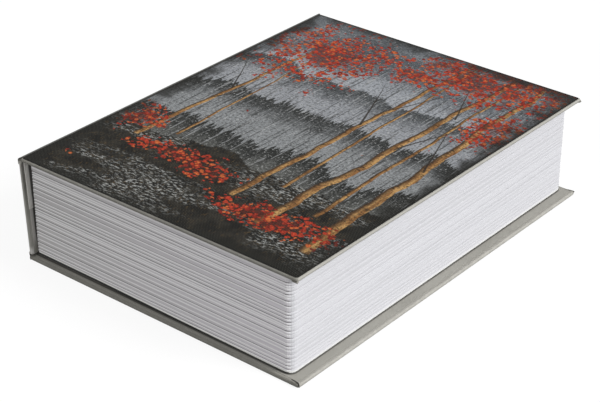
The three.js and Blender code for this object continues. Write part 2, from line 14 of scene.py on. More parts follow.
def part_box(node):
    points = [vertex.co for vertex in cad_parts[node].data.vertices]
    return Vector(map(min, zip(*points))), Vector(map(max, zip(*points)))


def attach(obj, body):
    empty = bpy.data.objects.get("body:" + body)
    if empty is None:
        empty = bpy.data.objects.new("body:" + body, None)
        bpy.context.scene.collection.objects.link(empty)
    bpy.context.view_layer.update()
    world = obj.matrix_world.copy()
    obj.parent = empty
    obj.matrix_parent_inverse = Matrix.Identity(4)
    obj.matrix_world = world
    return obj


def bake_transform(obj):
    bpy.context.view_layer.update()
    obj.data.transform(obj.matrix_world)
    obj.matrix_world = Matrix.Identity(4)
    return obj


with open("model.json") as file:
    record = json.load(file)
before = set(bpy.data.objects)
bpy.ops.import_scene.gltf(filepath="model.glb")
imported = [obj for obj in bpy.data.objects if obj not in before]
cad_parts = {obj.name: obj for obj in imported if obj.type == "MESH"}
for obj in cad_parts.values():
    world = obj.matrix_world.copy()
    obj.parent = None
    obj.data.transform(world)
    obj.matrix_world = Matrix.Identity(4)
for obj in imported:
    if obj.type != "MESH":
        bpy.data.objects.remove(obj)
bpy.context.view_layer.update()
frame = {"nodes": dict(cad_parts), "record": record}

MM = 0.001

# Sockets of a mix node that mixes colours
MIX_SHARE = 0
MIX_FIRST = 6
MIX_SECOND = 7
MIX_RESULT = 2

# Camera, fitted to the outline of the boards in the 600 x 402 photograph
CAMERA_AZIMUTH = math.radians(39.578)
CAMERA_ELEVATION = math.radians(29.240)
CAMERA_ROLL = math.radians(-0.010)
CAMERA_PLACE = Vector((0.557162, -0.684346, 0.511058))
CAMERA_LENS = 103.04
SENSOR_WIDTH = 36.0

# Lights
WORLD_STRENGTH = 0.41
SUNS = {
    # name: (strength, width in degrees, where it comes from)
    "key": (2.57, 24, (0.80, 0.25, 0.58)),
    "fill": (0.52, 40, (0.15, -0.80, 0.45)),
}
FLOOR_COLOUR = (0.14, 0.14, 0.14, 1)
FLOOR_GLOW = 0.89
FLOOR_HALF = 3.0
FLOOR_DROP = 0.05 * MM

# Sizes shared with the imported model
HALF_LENGTH = 132.5 * MM
SPINE_LEAN = 0.0443
LEAF_CORNER_RADIUS = 4.5 * MM

# The lengths in all values below are in millimetres. In the places that the materials mark, two
# numbers are the start and end of a soft step, and four are a band: the start and end of its
# rise, then the start and end of its fall.

# Cloth on the boards
WORN_FROM_SIDE = (98.8, 99.8)
WORN_FROM_END = (131.3, 132.3)
FRONT_BOARD_EDGE = (63.2, 63.4, 65.1, 65.2)
BACK_BOARD_EDGE_TOP = (2.2, 2.4)
FORE_EDGE_FACE = (98.6, 99.0)
CLOTH_END = (130.9, 131.9)
CREASE_TOP = (5, 6)
CREASE_WIDTH = (0.16, 0.42)

# Cloth at the spine's head and tail
SPINE_INNER_FOOT_HEIGHT = 3
SPINE_INNER_FOOT_X = 97.8
BLOCK_SIDE = (-97.6, -97.3)
SPINE_END_FACE = (130.7, 130.9)
SPINE_END_HEIGHT = (3.8, 4.6, 62.6, 63.0)
SPINE_END_DARKENING = (20, 50)
SPINE_END_FOOT = (6, 10)
JOINT_FOOT = (2.4, 2.55, 3.6, 4.0)
JOINT_FOOT_END = (131.6, 132.0)
JOINT_FOOT_INNER_END = (126, 128)
OVER_JOINT_HEIGHT = (64.5, 65.1)
OVER_JOINT_SIDE = (-100.4, -100.2)
# Counted from the spine's inner face, towards the block
JOINT_FOOT_INNER = (-0.8, -0.5)
SPINE_END_OUTER = (-1.6, -0.9)
SPINE_END_INNER = (-0.7, -0.3)
SPINE_END_FOOT_INNER = (-1.5, -0.9)

# Linings
SPINE_LINING_SIDE = (-98.1, -97.7)
SPINE_LINING_HEIGHT = (4.6, 4.8, 62.7, 62.8)
HINGE_STRIP_FOOT = (32.9, 33.1)
# Painted shade on the spine's lining beside the block's ends
PAINTED_END_SHADE_BAND = (119, 125, 128, 128.7)
# Painted shadow on the linings round the block's foot
BLOCK_SHADOW_TOP = (2.9, 3.1)
# Counted inwards from the block's outline
BLOCK_SHADOW_RIM = (-0.45, -0.09)

# Leaves. The depths are counted inwards from the ridges.
# The head and tail faces are painted darker near the spine and paler towards the fore edge, between
# these places
LIT_TOWARDS_FORE_FROM = -97
LIT_TOWARDS_FORE_TO = 88
RIDGE_DEPTH = (0.02, 0.1, 0.26, 0.38)
GROOVE_DEPTH = (0.26, 0.46, 1.0, 1.1)
TOP_LEAF = (59.6, 60.0)
FOOT_DARK_TOP = 2.95
# Higher at the head and tail, and falling from the spine to the fore edge: (x, height)
FOOT_DARK_ENDS = [(-45, 5.2), (76, 4.05)]
# Counted upwards from the top of the dark foot
FOOT_DARK_EDGE = (-0.12, 0.0)
FOOT_DARK_DEPTH = (-1.6, -1.1)
LOWEST_LEAF_FORE = 1.6
LOWEST_LEAF_END = 0.5
LOWEST_LEAF_EDGE = 0.45

# Cloth across the joints: points (x, z, share of the sway) on its inner face
JOINT_THICKNESS = 0.18
JOINT_ROWS = 44
JOINT_SWAY = 0.12
# Two waves, in radians from tail to head, and where the first one starts
JOINT_SWAY_WAVES = (9.1, 23.0)
JOINT_SWAY_START = 0.7
LOWER_JOINT = [
    (-99.36, 0.20, 0),
    (-99.62, 0.30, 0),
    (-99.84, 0.52, 0),
    (-99.96, 0.85, 0),
    (-99.98, 1.50, 0),
    (-99.86, 2.10, 0.5),
    (-99.74, 2.65, 1),
    (-99.86, 3.15, 0.5),
    (-100.12, 3.70, 0),
    (-100.19, 4.60, 0),
    (-100.23, 5.60, 0),
]
UPPER_JOINT = [
    (-102.68, 60.20, 0),
    (-102.77, 62.20, 0),
    (-102.84, 63.60, 0.3),
    (-102.80, 64.05, 0.6),
    (-102.60, 64.44, 1),
    (-102.32, 64.86, 0.6),
    (-101.94, 65.12, 0.3),
    (-101.46, 65.25, 0),
    (-101.10, 65.28, 0),
    (-100.76, 65.28, 0),
    (-100.46, 65.28, 0),
]

# The folded corner, on the back board's corner at the tail and fore edge
CORNER = (100.0, -132.5, 2.45)
FRONT_SET_BACK = -0.8
BOARD_PAIR_HEIGHT = 65.25
CREASE = [(94.1, -130.9), (96.3, -130.95), (98.2, -131.3), (99.4, -131.75), (100.1, -132.3)]
FOLD_THICKNESS = 0.16
FOLD_BULGE = 0.12
# Rows from the fold's root to its edge, and angles round its roll, in degrees
FOLD_SHARES = (0.0, 0.12, 0.3, 0.5, 0.7, 0.88, 1.0)
FOLD_RING = range(-60, 241, 30)
FOLD_EDGE = [
    (93.6, -130.6, 2.46),
    (95.2, -130.95, 2.58),
    (97.2, -131.4, 2.80),
    (99.1, -131.85, 2.92),
    (100.15, -132.35, 2.65),
    (100.2, -132.7, 1.75),
    (99.3, -132.66, 0.95),
]
FOLD_ROOT = [
    (93.8, -130.0, 2.44),
    (95.6, -129.6, 2.44),
    (97.8, -129.6, 2.44),
    (99.3, -129.9, 2.42),
    (99.98, -130.4, 1.70),
    (100.0, -130.9, 0.95),
    (99.9, -131.6, 0.30),
]
FOLD_ROLL = [
    # (centre, radius)
    ((94.6, -132.0, 2.18), 0.05),
    ((96.4, -132.05, 2.16), 0.20),
    ((98.0, -132.15, 2.10), 0.30),
    ((99.2, -132.2, 1.98), 0.34),
    ((99.55, -132.2, 1.9), 0.30),
]

# The printed picture, on the front board
HILLS = [
    # (height, rise, pitch, tree height, seed, colour, mist at the foot)
    (92, 60, 70, 2.5, 11.0, (112, 117, 123), (168, 172, 178)),
    (56, 56, 54, 4.5, 12.0, (84, 88, 91), (162, 165, 170)),
    (14, 50, 44, 8, 13.0, (52, 54, 54), (146, 149, 151)),
    (-34, 44, 40, 11, 14.0, (36, 38, 36), (104, 105, 102)),
]
TRUNKS = [
    # (foot, top, width at the foot, width at the top)
    ((16, -90), (25, 128), 5.0, 2.4),
    ((33, -66), (29, 126), 2.6, 1.2),
    ((47, -104), (58, 128), 6.6, 3.0),
    ((66, -80), (63, 128), 3.2, 1.4),
    ((84, -112), (77, 128), 7.4, 3.4),
    ((-74, -70), (-66, 84), 4.2, 1.8),
    ((-54, -56), (-58, 70), 2.2, 0.9),
]
BRANCHES = [
    # (fork, tip, width at the fork)
    ((53, 8), (74, 66), 1.5),
    ((82, -4), (62, 50), 1.4),
    ((20, 20), (-2, 74), 1.6),
    ((22, 48), (40, 92), 1.2),
    ((-71, -6), (-46, 44), 1.4),
    ((-70, 10), (-92, 52), 1.2),
    ((58, 60), (40, 104), 1.2),
    ((80, 52), (95, 92), 1.3),
]
CROWNS = [
    # (centre, half size)
    ((-58, 84), (46, 40)),
    ((44, 112), (66, 30)),
    ((6, 96), (26, 16)),
    ((84, 62), (16, 30)),
    ((-28, -74), (36, 12)),
    ((52, -96), (44, 12)),
    ((-84, -50), (14, 16)),
]


class Shade:
    """One material's node tree, with short calls that add nodes and return their output sockets."""

    def __init__(self, name):
        self.material = bpy.data.materials.new(name)
        self.material.use_nodes = True
        self.tree = self.material.node_tree
        self.shader = next(n for n in self.tree.nodes if n.type == "BSDF_PRINCIPLED")
        self.place = self.node("ShaderNodeTexCoord").outputs["Object"]

    def node(self, kind, **settings):
        made = self.tree.nodes.new(kind)
        for key, value in settings.items():
            setattr(made, key, value)
        return made

    def feed(self, socket, value):
        """Links a socket, or sets a number or a colour."""
        if isinstance(value, bpy.types.NodeSocket):
            self.tree.links.new(value, socket)
        else:
            socket.default_value = value

    def maths(self, operation, a, b=0.0, c=0.0, clamp=False):
        made = self.node("ShaderNodeMath", operation=operation, use_clamp=clamp)
        self.feed(made.inputs[0], a)
        self.feed(made.inputs[1], b)
        self.feed(made.inputs[2], c)
        return made.outputs[0]

    def add(self, a, b):
        return self.maths("ADD", a, b)

    def subtract(self, a, b):
        return self.maths("SUBTRACT", a, b)

    def times(self, a, b):
        return self.maths("MULTIPLY", a, b)

    def parts(self, vector=None):
        made = self.node("ShaderNodeSeparateXYZ")
        self.feed(made.inputs[0], vector or self.place)
        return made.outputs[0], made.outputs[1], made.outputs[2]

    def vector(self, x, y, z=0.0):
        made = self.node("ShaderNodeCombineXYZ")
        for socket, value in zip(made.inputs, (x, y, z)):
            self.feed(socket, value)
        return made.outputs[0]

    def stretched(self, scale, vector=None):
        made = self.node("ShaderNodeMapping")
        self.feed(made.inputs["Vector"], vector or self.place)
        made.inputs["Scale"].default_value = scale
        return made.outputs[0]

    def noise(self, scale, detail=3.0, roughness=0.5, vector=None, distortion=0.0):
        made = self.node("ShaderNodeTexNoise")
        self.feed(made.inputs["Vector"], vector or self.place)
        made.inputs["Scale"].default_value = scale
        made.inputs["Detail"].default_value = detail
        made.inputs["Roughness"].default_value = roughness
        made.inputs["Distortion"].default_value = distortion
        return made.outputs["Fac"]

    def smooth(self, value, low, high):
        """0 below low, 1 above high, and a smooth step between."""
        made = self.node("ShaderNodeMapRange", interpolation_type="SMOOTHSTEP")
        self.feed(made.inputs["Value"], value)
        self.feed(made.inputs["From Min"], low)
        self.feed(made.inputs["From Max"], high)
        return made.outputs["Result"]

    def fade(self, value, low, high):
        """1 below low, 0 above high, and a smooth step between."""
        return self.subtract(1.0, self.smooth(value, low, high))

    def swing(self, noise, reach):
        """Noise made to swing from -reach/2 to reach/2."""
        return self.times(self.subtract(noise, 0.5), reach)

    def past(self, value, step):
        """1 past a soft step given in millimetres, 0 before it."""
        return self.smooth(value, step[0] * MM, step[1] * MM)

    def before(self, value, step):
        """1 before a soft step given in millimetres, 0 past it."""
        return self.fade(value, step[0] * MM, step[1] * MM)

    def band(self, value, steps):
        """1 inside a soft-edged band given in millimetres, 0 outside it."""
        return self.times(self.past(value, steps[:2]), self.before(value, steps[2:]))

    def ranged(self, value, low, high, to_low, to_high):
        made = self.node("ShaderNodeMapRange")
        self.feed(made.inputs["Value"], value)
        limits = {"From Min": low, "From Max": high, "To Min": to_low, "To Max": to_high}
        for key, number in limits.items():
            self.feed(made.inputs[key], number)
        return made.outputs["Result"]

    def by_face(self, ends, fore, end):
        """One number on the block's fore edge, another on its head and tail faces."""
        return self.ranged(ends, 0.0, 1.0, fore, end)

    def mix(self, share, first, second):
        """Two colours mixed: the first at a share of 0, the second at 1."""
        made = self.node("ShaderNodeMix", data_type="RGBA")
        self.feed(made.inputs[MIX_SHARE], share)
        self.feed(made.inputs[MIX_FIRST], first)
        self.feed(made.inputs[MIX_SECOND], second)
        return made.outputs[MIX_RESULT]

    def bump(self, height, strength, distance, normal=None):
        made = self.node("ShaderNodeBump")
        self.feed(made.inputs["Height"], height)
        made.inputs["Strength"].default_value = strength
        made.inputs["Distance"].default_value = distance
        if normal:
            self.feed(made.inputs["Normal"], normal)
        return made.outputs[0]

    def finish(self, colour, roughness, normal=None, metallic=0.0, **sockets):
        self.feed(self.shader.inputs["Base Color"], colour)
        self.feed(self.shader.inputs["Roughness"], roughness)
        self.shader.inputs["Metallic"].default_value = metallic
        for name, value in sockets.items():
            self.shader.inputs[name.replace("_", " ")].default_value = value
        if normal:
            self.feed(self.shader.inputs["Normal"], normal)
        return self.material


def rgb(red, green, blue):
    """A colour given as the 0 to 255 values seen on a screen."""

    def linear(value):
        share = value / 255
        return share / 12.92 if share <= 0.04045 else ((share + 0.055) / 1.055) ** 2.4

    return (linear(red), linear(green), linear(blue), 1.0)


def weave_height(s, pitch, slack=0.0):
    """Height of a plain weave, the same on faces of any direction."""
    x, y, z = s.parts()
    turn = 2 * math.pi / pitch
    waves = []
    for value in (x, y, z):
        if slack:
            value = s.add(value, s.swing(s.noise(55.0, 2.0, 0.5), slack))
        waves.append(s.maths("SINE", s.times(value, turn)))
    level = s.times(waves[0], waves[1])
    upright = s.times(s.add(waves[0], waves[1]), waves[2])
    return s.add(level, upright)


def edge_wear(s):
    """1 in patches along the boards' outer edges, where the paper is rubbed."""
    x, y, _ = s.parts()
    past_side = s.past(s.maths("ABSOLUTE", x), WORN_FROM_SIDE)
    past_end = s.past(s.maths("ABSOLUTE", y), WORN_FROM_END)
    near = s.maths("MAXIMUM", past_side, past_end)
    return s.times(near, s.smooth(s.noise(210.0, 4.0, 0.65), 0.42, 0.66))


def board_edges(s, shade):
    """Painted light on the boards' fore edges, where the cloth is made paler, and painted shade at
    their head and tail, where it is made darker.
    """
    x, y, z = s.parts()
    on_edge = s.maths("MAXIMUM", s.band(z, FRONT_BOARD_EDGE), s.before(z, BACK_BOARD_EDGE_TOP))
    on_fore_edge = s.times(s.past(x, FORE_EDGE_FACE), on_edge)
    # Painted light: paler cloth on the fore edges
    shade = s.mix(s.times(on_fore_edge, 0.35), shade, rgb(198, 196, 188))
    at_end = s.past(s.maths("ABSOLUTE", y), CLOTH_END)
    # Painted shade: darker cloth at the head and tail
    return s.mix(s.times(at_end, 0.6), shade, rgb(112, 110, 103))


def spine_ends(s, shade):
    """Painted light and shade on the cloth at the spine's head and tail: palest outside, darker inside,
    over a painted shadow in the joint.
    """
    x, y, z = s.parts()
    end_side = s.maths("ABSOLUTE", y)
    above_foot = s.subtract(z, SPINE_INNER_FOOT_HEIGHT * MM)
    inner_x = s.maths("MULTIPLY_ADD", above_foot, SPINE_LEAN, SPINE_INNER_FOOT_X * MM)
    past_inner = s.add(x, inner_x)
    beside_block = s.before(x, BLOCK_SIDE)

    # Painted shadow in the joint at the spine's foot
    inner_foot = s.times(s.past(end_side, JOINT_FOOT_INNER_END), s.past(past_inner, JOINT_FOOT_INNER))
    at_end = s.maths("MAXIMUM", s.past(end_side, JOINT_FOOT_END), inner_foot)
    painted_joint_shadow = s.times(s.times(s.band(z, JOINT_FOOT), beside_block), at_end)
    shade = s.mix(painted_joint_shadow, shade, rgb(26, 26, 24))

    # Painted light on the spine's end faces, palest outside and at the foot, and painted shade inside,
    # growing towards the top
    face = s.times(s.past(end_side, SPINE_END_FACE), s.band(z, SPINE_END_HEIGHT))
    face = s.times(face, beside_block)
    shade = s.mix(s.times(face, 0.4), shade, rgb(206, 204, 197))
    outside = s.times(face, s.before(past_inner, SPINE_END_OUTER))
    shade = s.mix(s.times(outside, 0.8), shade, rgb(226, 224, 218))
    inside = s.times(face, s.past(past_inner, SPINE_END_INNER))
    low, high = SPINE_END_DARKENING
    darkening = s.ranged(z, low * MM, high * MM, 0.0, 0.6)
    shade = s.mix(s.times(inside, darkening), shade, rgb(52, 51, 48))
    pale_foot = s.times(face, s.before(z, SPINE_END_FOOT))
    pale_foot = s.times(pale_foot, s.past(past_inner, SPINE_END_FOOT_INNER))
    return s.mix(s.times(pale_foot, 0.8), shade, rgb(246, 244, 240))


def ink_over_joint(s, shade):
    """The picture's dark border, which runs on over the upper joint."""
    x, _, z = s.parts()
    over_joint = s.times(s.past(z, OVER_JOINT_HEIGHT), s.before(x, OVER_JOINT_SIDE))
    return s.mix(s.times(over_joint, 0.85), shade, rgb(44, 44, 41))


def corner_crease(s):
    """1 in the crease where the cloth is folded over the back board's fore corners, for painted shade.
    """
    x, y, z = s.parts()
    away = 1.0
    for start, end in zip(CREASE, CREASE[1:]):
        along = (end[0] - start[0], end[1] - start[1])
        length = math.hypot(*along)
        dx = s.subtract(x, start[0] * MM)
        dy = s.subtract(s.times(s.maths("ABSOLUTE", y), -1.0), start[1] * MM)
        dy_share = s.times(dy, along[1] / length**2 / MM)
        share = s.maths("MULTIPLY_ADD", dx, along[0] / length**2 / MM, dy_share, clamp=True)
        off_x = s.subtract(dx, s.times(share, along[0] * MM))
        off_y = s.subtract(dy, s.times(share, along[1] * MM))
        gap = s.maths("SQRT", s.add(s.times(off_x, off_x), s.times(off_y, off_y)))
        away = s.maths("MINIMUM", away, gap)
    near = s.before(away, CREASE_WIDTH)
    return s.times(s.times(near, 0.9), s.before(z, CREASE_TOP))


def cloth_material():
    """Grey book cloth: a fine weave, slubs, faint clouds and worn edges, with painted light and shade,
    and the picture's border, by place.
    """
    s = Shade("cloth")
    weave = weave_height(s, 0.55 * MM)
    slub = s.noise(420.0, 3.0, 0.6, s.stretched((1.0, 0.12, 1.0)))
    cloud = s.noise(26.0, 4.0, 0.6)
    shade = s.mix(s.smooth(cloud, 0.3, 0.72), rgb(161, 159, 152), rgb(170, 168, 161))
    shade = s.mix(s.times(s.smooth(slub, 0.5, 0.8), 0.35), shade, rgb(186, 184, 177))
    shade = s.mix(s.times(edge_wear(s), 0.5), shade, rgb(200, 198, 191))
    shade = board_edges(s, shade)
    shade = spine_ends(s, shade)
    # Painted shade in the corner folds' crease
    shade = s.mix(corner_crease(s), shade, rgb(44, 43, 38))
    shade = ink_over_joint(s, shade)
    height = s.add(s.times(weave, 0.4), s.times(slub, 1.2))
    rough = s.ranged(cloud, 0.3, 0.7, 0.62, 0.76)
    return s.finish(shade, rough, s.bump(height, 0.4, 0.04 * MM), Specular_IOR_Level=0.22)


def lining_material():
    """Plain grey endpaper with fibres, with a painted shadow round the block's foot.

    On the spine it is painted paler, most so on the hinge strip, and painted shade darkens it near its
    ends.
    """
    s = Shade("lining")
    fibre = s.noise(900.0, 4.0, 0.65, s.stretched((1.0, 0.35, 1.0)))
    cloud = s.noise(18.0, 3.0, 0.5)
    shade = s.mix(s.smooth(cloud, 0.35, 0.7), rgb(160, 158, 151), rgb(170, 168, 161))
    x, y, z = s.parts()
    on_spine = s.times(s.before(x, SPINE_LINING_SIDE), s.band(z, SPINE_LINING_HEIGHT))
    # Painted light: paler lining on the spine, palest on the hinge strip
    shade = s.mix(s.times(on_spine, 0.9), shade, rgb(218, 215, 210))
    on_hinge = s.times(on_spine, s.past(z, HINGE_STRIP_FOOT))
    shade = s.mix(on_hinge, shade, rgb(244, 242, 236))
    shade = s.mix(s.times(s.smooth(fibre, 0.55, 0.75), 0.3), shade, rgb(142, 140, 133))
    # Painted shade on the spine's lining beside the block's head and tail
    painted_end_shade = s.band(s.maths("ABSOLUTE", y), PAINTED_END_SHADE_BAND)
    shade = s.mix(s.times(s.times(painted_end_shade, on_spine), 0.85), shade, rgb(48, 47, 45))
    # Painted shadow on the lining round the block's foot
    painted_block_shadow = s.times(s.past(inset_depth(s), BLOCK_SHADOW_RIM), s.by_face(end_faces(s), 0.62, 0.66))
    shade = s.mix(s.times(painted_block_shadow, s.before(z, BLOCK_SHADOW_TOP)), shade, rgb(42, 42, 40))
    rough = s.ranged(fibre, 0.3, 0.7, 0.78, 0.88)
    return s.finish(shade, rough, s.bump(fibre, 0.35, 0.04 * MM), Specular_IOR_Level=0.22)


def card_material():
    """Pressed grey board, flecked."""
    s = Shade("card")
    fleck = s.noise(1300.0, 3.0, 0.7)
    shade = s.mix(s.smooth(fleck, 0.4, 0.7), rgb(150, 143, 128), rgb(176, 169, 154))
    rough = s.ranged(fleck, 0.3, 0.7, 0.86, 0.95)
    return s.finish(shade, rough, s.bump(fleck, 0.4, 0.05 * MM))


def inset_depth(s):
    """How far a point lies inside the block's rounded outline: 0 on the ridges, more in the grooves."""
    _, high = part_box("pages_shell")
    x, y, _ = s.parts()
    side = s.subtract(x, high.x - LEAF_CORNER_RADIUS)
    end = s.subtract(s.maths("ABSOLUTE", y), high.y - LEAF_CORNER_RADIUS)
    outside_side = s.maths("MAXIMUM", side, 0.0)
    outside_end = s.maths("MAXIMUM", end, 0.0)
    squares = s.add(s.times(outside_side, outside_side), s.times(outside_end, outside_end))
    corner = s.maths("SQRT", squares)
    within = s.maths("MINIMUM", s.maths("MAXIMUM", side, end), 0.0)
    return s.subtract(LEAF_CORNER_RADIUS, s.add(corner, within))


def end_faces(s):
    """1 on the block's head and tail faces, 0 on its fore edge, turning over at the rounded corners."""
    _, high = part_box("pages_shell")
    x, y, _ = s.parts()
    side = s.subtract(x, high.x)
    end = s.subtract(s.maths("ABSOLUTE", y), high.y)
    return s.smooth(s.subtract(end, side), -0.2 * LEAF_CORNER_RADIUS, 0.5 * LEAF_CORNER_RADIUS)


def leaf_lines(s, shade, ends, lit_towards_fore):
    """Painted highlight on the ridges, with painted shade on them on the fore edge, and painted shade
    in the grooves, plainest on the head and tail faces.
    """
    depth = inset_depth(s)
    ridge_share = s.ranged(lit_towards_fore, 0.0, 1.0, 0.8, 1.0)
    # Painted highlight on the ridges of the head and tail faces, painted shade on those of the fore
    # edge
    ridge_painted_light_and_shade = s.mix(ends, rgb(212, 212, 216), rgb(255, 254, 255))
    shade = s.mix(s.times(s.band(depth, RIDGE_DEPTH), ridge_share), shade, ridge_painted_light_and_shade)
    # Painted shade in the grooves
    groove_share = s.by_face(ends, 0.34, 0.98)
    return s.mix(s.times(s.band(depth, GROOVE_DEPTH), groove_share), shade, rgb(112, 107, 112))


def leaf_foot(s, shade, ends):
    """Painted highlight on the lowest leaf at the block's foot, and a painted shadow below it."""
    x, _, z = s.parts()
    (near_x, near_top), (far_x, far_top) = FOOT_DARK_ENDS
    end_top = s.ranged(x, near_x * MM, far_x * MM, near_top * MM, far_top * MM)
    above_foot = s.subtract(z, s.by_face(ends, FOOT_DARK_TOP * MM, end_top))
    leaf_start = s.by_face(ends, LOWEST_LEAF_FORE * MM, LOWEST_LEAF_END * MM)
    leaf_end = s.add(leaf_start, LOWEST_LEAF_EDGE * MM)
    # Painted highlight on the lowest leaf
    lowest_leaf = s.fade(above_foot, leaf_start, leaf_end)
    shade = s.mix(s.times(lowest_leaf, s.by_face(ends, 0.5, 0.85)), shade, rgb(255, 255, 252))
    # Painted shadow under the block's foot, darkest next to it and greyer further down
    foot_painted_shadow = s.mix(ends, rgb(46, 46, 44), rgb(26, 26, 25))
    foot_painted_shadow = s.mix(s.past(above_foot, FOOT_DARK_DEPTH), rgb(124, 123, 118), foot_painted_shadow)
    return s.mix(s.before(above_foot, FOOT_DARK_EDGE), shade, foot_painted_shadow)


def leaves_material():
    """White moulded plastic with the fine level lines of pressed paper, with painted shade that darkens
    the head and tail faces towards the spine.
    """
    s = Shade("leaves")
    ends = end_faces(s)
    fine = s.noise(1.0, 4.0, 0.62, s.stretched((9.0, 9.0, 2600.0)))
    coarse = s.noise(1.0, 3.0, 0.5, s.stretched((5.0, 5.0, 620.0)))
    dust = s.noise(140.0, 4.0, 0.6)
    x, _, z = s.parts()
    lit_towards_fore = s.ranged(x, LIT_TOWARDS_FORE_FROM * MM, LIT_TOWARDS_FORE_TO * MM, 0.0, 1.0)
    # Painted light and shade: the head and tail faces have colours of their own, darker near the spine
    # and paler towards the fore edge
    dull_ends = s.mix(lit_towards_fore, rgb(203, 201, 201), rgb(230, 226, 232))
    dull = s.mix(ends, rgb(217, 217, 221), dull_ends)
    clean_ends = s.mix(lit_towards_fore, rgb(212, 210, 210), rgb(242, 238, 244))
    clean = s.mix(ends, rgb(225, 225, 229), clean_ends)
    shade = s.mix(s.smooth(coarse, 0.36, 0.62), dull, clean)
    shade = leaf_lines(s, shade, ends, lit_towards_fore)
    shade = s.mix(s.times(s.smooth(dust, 0.6, 0.8), 0.2), shade, rgb(200, 199, 204))
    # Painted light on the top leaf, where the cover's overhang shades it
    top_leaf = s.times(s.past(z, TOP_LEAF), s.by_face(ends, 0.35, 1.0))
    shade = s.mix(s.times(top_leaf, 0.9), shade, rgb(255, 253, 255))
    shade = leaf_foot(s, shade, ends)
    lines = s.add(s.times(fine, 0.4), s.times(coarse, 0.5))
    rough = s.ranged(dust, 0.3, 0.75, 0.36, 0.52)
    return s.finish(shade, rough, s.bump(lines, 0.3, 0.1 * MM), Specular_IOR_Level=0.35)


class Picture(Shade):
    """The printed picture's node tree, in millimetres over the front board."""

    def __init__(self, name):
        super().__init__(name)
        x, y, _ = self.parts()
        self.x = self.times(x, 1 / MM)
        self.y = self.times(y, 1 / MM)

    def blur(self, size, seed, stretch=(1.0, 1.0), detail=3.0, roughness=0.55):
        """Noise with features of a size in millimetres."""
        place = self.vector(
            self.times(self.x, 1 / (size * stretch[0])),
            self.times(self.y, 1 / (size * stretch[1])),
            seed,
        )
        return self.noise(1.0, detail, roughness, place)

    def line(self, value, size, seed, reach, detail=2.0):
        """A wavering line: noise along one coordinate, from -reach/2 to reach/2."""
        place = self.vector(self.times(value, 1 / size), seed, 0.0)
        return self.swing(self.noise(1.0, detail, 0.5, place), reach)

    def below(self, height, soft):
        """1 below a line of heights, 0 above it."""
        return self.fade(self.subtract(self.y, height), -soft, soft)

    def treetops(self, pitch, seed, rise):
        """Heights of pointed trees along a ridge, each with a height of its own."""
        cells = self.node("ShaderNodeTexVoronoi", voronoi_dimensions="1D")
        self.feed(cells.inputs["W"], self.add(self.times(self.x, 1 / pitch), seed))
        cells.inputs["Scale"].default_value = 1.0
        chance, _, _ = self.parts(cells.outputs["Color"])
        point = self.maths("MULTIPLY_ADD", cells.outputs["Distance"], -2.0, 1.0, clamp=True)
        return self.times(self.times(point, self.ranged(chance, 0.0, 1.0, 0.35, 1.0)), rise)

    def stroke(self, start, end, wide, narrow, seed):
        """A tapering brush stroke: 1 on it, and the side of it that a point is on, from -1 to 1."""
        along = (end[0] - start[0], end[1] - start[1])
        length = math.hypot(*along)
        dx = self.subtract(self.x, start[0])
        dy = self.subtract(self.y, start[1])
        dy_share = self.times(dy, along[1] / length**2)
        share = self.maths("MULTIPLY_ADD", dx, along[0] / length**2, dy_share, clamp=True)
        dx_across = self.times(dx, -along[1] / length)
        across = self.maths("MULTIPLY_ADD", dy, along[0] / length, dx_across)
        across = self.add(across, self.line(self.y, 44.0, seed, wide * 2.0, 3.0))
        half = self.maths("MULTIPLY_ADD", share, (narrow - wide) / 2, wide / 2)
        past = self.subtract(self.maths("ABSOLUTE", across), half)
        ends = self.times(self.smooth(share, 0.0, 0.01), self.fade(share, 0.99, 1.0))
        mask = self.times(self.fade(past, -0.25, 0.2), ends)
        return mask, self.maths("DIVIDE", across, half)

    def dabs(self, size, seed):
        """Brush dabs: two random numbers for each, and how far a point is from its middle."""
        cells = self.node("ShaderNodeTexVoronoi", voronoi_dimensions="3D")
        bend = self.swing(self.blur(size * 1.6, seed), size * 1.3)
        place = self.vector(
            self.times(self.add(self.x, bend), 1 / size),
            self.times(self.subtract(self.y, bend), 1 / (size * 0.8)),
            seed,
        )
        self.feed(cells.inputs["Vector"], place)
        cells.inputs["Scale"].default_value = 1.0
        hue, chance, _ = self.parts(cells.outputs["Color"])
        return hue, chance, cells.outputs["Distance"]


def picture_sky(p):
    """Broken cloud, palest low down."""
    cloud = p.blur(46.0, 3.1, (1.6, 0.7), 6.0, 0.62)
    low = p.mix(p.smooth(p.y, 10.0, 90.0), rgb(164, 168, 171), rgb(126, 131, 136))
    high = p.mix(p.smooth(p.y, 10.0, 120.0), rgb(128, 133, 138), rgb(78, 82, 87))
    return p.mix(p.smooth(cloud, 0.38, 0.62), low, high)


